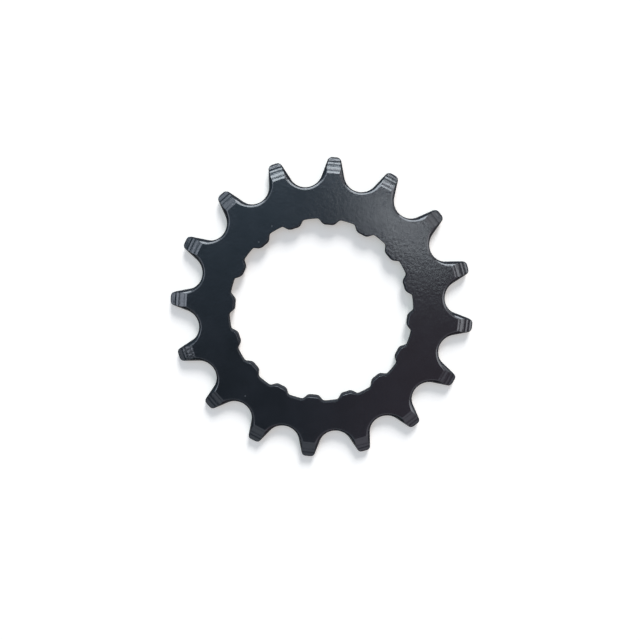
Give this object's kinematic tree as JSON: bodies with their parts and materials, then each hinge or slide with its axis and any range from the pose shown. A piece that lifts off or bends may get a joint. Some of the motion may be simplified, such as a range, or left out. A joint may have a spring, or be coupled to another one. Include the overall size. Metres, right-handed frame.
{
  "type": "bicycle sprocket",
  "caption": "Flat steel chain sprocket with bevelled teeth around its rim and a splined bore that slides onto a drive shaft, coated satin black.",
  "frame": {"origin": "on the sprocket's axis, at the back face that it rests on", "axes": "+Z along the axis, out of the face with the rounded edges; +X through the middle of a tooth and of a spline lobe"},
  "size_m": [0.0704, 0.0704, 0.0021],
  "materials": {
    "black_coat": "satin"
  },
  "bodies": {
    "root": {"sprocket": "black_coat"}
  },
  "joints": []
}
